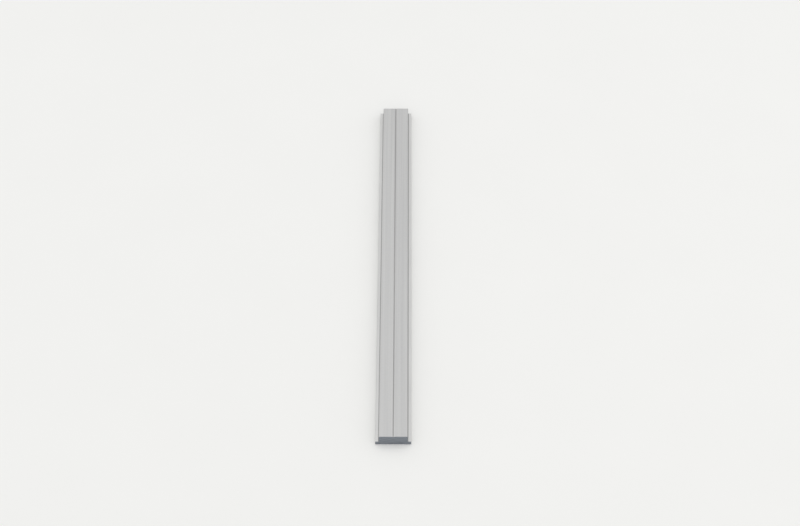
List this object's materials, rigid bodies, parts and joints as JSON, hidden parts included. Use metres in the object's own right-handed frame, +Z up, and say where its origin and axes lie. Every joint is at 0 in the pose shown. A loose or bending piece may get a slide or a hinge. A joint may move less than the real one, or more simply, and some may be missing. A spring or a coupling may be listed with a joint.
{
  "type": "aluminium extrusion profile",
  "caption": "Short length of solid aluminium extrusion with a flat base, a ledge along each side and a raised body that has a V-shaped marking groove down the middle.",
  "frame": {"origin": "middle of the underside, half way along the bar and on its centre line", "axes": "+Y along the bar, away from the picture's near end; +Z up out of the grooved top; +X across the bar, to the right in the picture"},
  "size_m": [0.022, 0.3, 0.0072],
  "materials": {
    "anodised_aluminium": "matt silver anodised along the bar, bare sawn metal on the two ends"
  },
  "bodies": {
    "root": {"aluminium_profile": "anodised_aluminium"}
  },
  "joints": []
}
